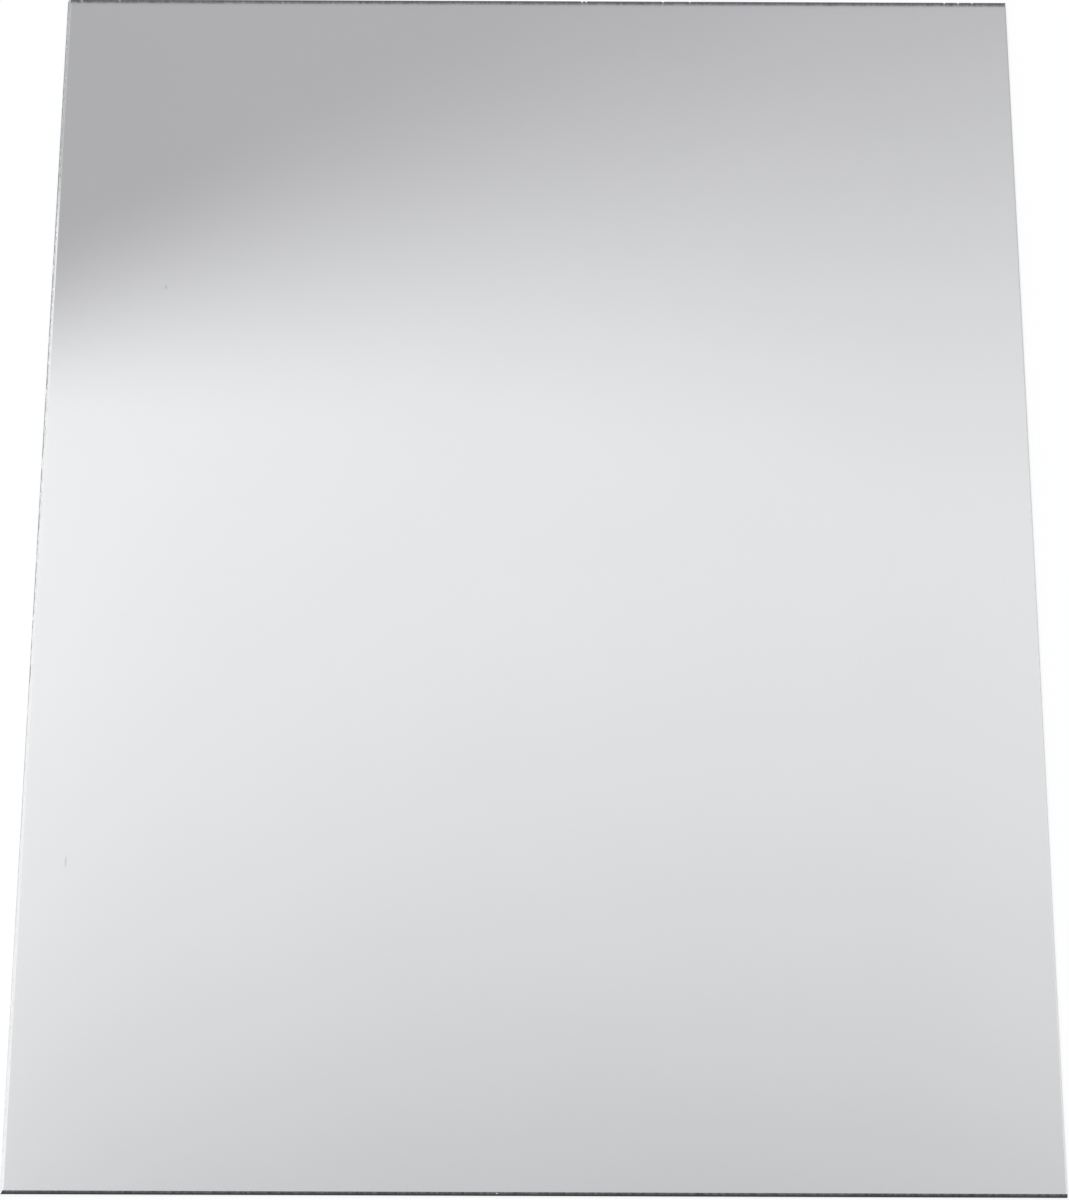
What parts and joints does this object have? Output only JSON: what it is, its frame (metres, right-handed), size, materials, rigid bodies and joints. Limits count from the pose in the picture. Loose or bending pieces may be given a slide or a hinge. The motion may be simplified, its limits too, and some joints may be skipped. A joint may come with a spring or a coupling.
{
  "type": "plastic mirror sheet",
  "caption": "Flat rectangular sheet of thin clear plastic, mirrored and lacquered on its underside, with square cut edges and one snapped edge.",
  "frame": {"origin": "middle of the lacquered back, on the surface that the sheet lies on", "axes": "+X across the sheet towards its clean-cut long edge, +Y along its length, +Z out of the mirror face"},
  "size_m": [0.21, 0.295, 0.0011],
  "materials": {
    "mirror": "second-surface mirror: silver film seen through 1.1 mm of glossy clear polystyrene, dark clear cut edges, plain grey lacquer on the back"
  },
  "bodies": {
    "root": {"mirror_sheet": "mirror"}
  },
  "joints": []
}
